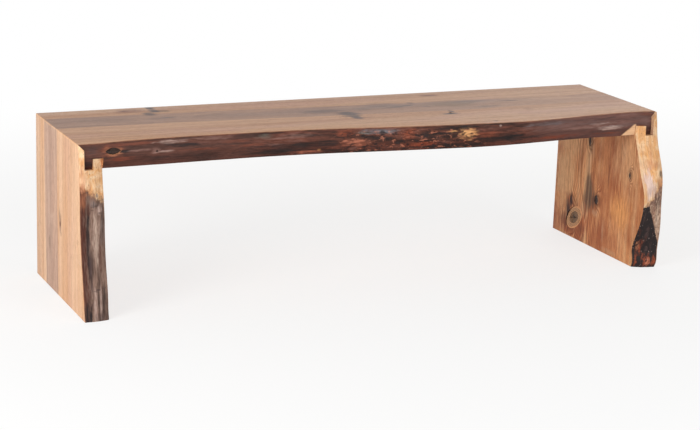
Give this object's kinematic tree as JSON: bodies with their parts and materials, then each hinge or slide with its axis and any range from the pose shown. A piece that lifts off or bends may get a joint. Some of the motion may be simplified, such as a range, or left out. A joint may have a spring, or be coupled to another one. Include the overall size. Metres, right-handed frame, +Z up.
{
  "type": "wooden bench",
  "caption": "Waterfall bench: a thick slab seat with a live front edge, carried on slab legs and joined at the corners by lock mitres; straight sawn back.",
  "frame": {"origin": "on the floor, in the middle of the bench's length and of its widest reach from back to front", "axes": "+X along the bench to the end with the ring knot, +Y to the straight sawn back, +Z up"},
  "size_m": [1.727, 0.5043, 0.457],
  "materials": {
    "seat_wood": "satin oil",
    "leg_wood": "satin oil",
    "ring_knot": "satin oil",
    "dead_knot": "satin oil"
  },
  "bodies": {
    "root": {"seat_slab": "seat_wood", "left_leg_slab": "leg_wood", "right_leg_slab": "leg_wood", "edge_knot": "dead_knot", "seat_knot": "dead_knot", "left_leg_knot": "dead_knot", "right_leg_upper_knot": "dead_knot", "right_leg_middle_knot": "dead_knot", "right_leg_front_knot": "dead_knot", "ring_knot_collar": "ring_knot", "ring_knot_heart": "dead_knot"}
  },
  "joints": []
}
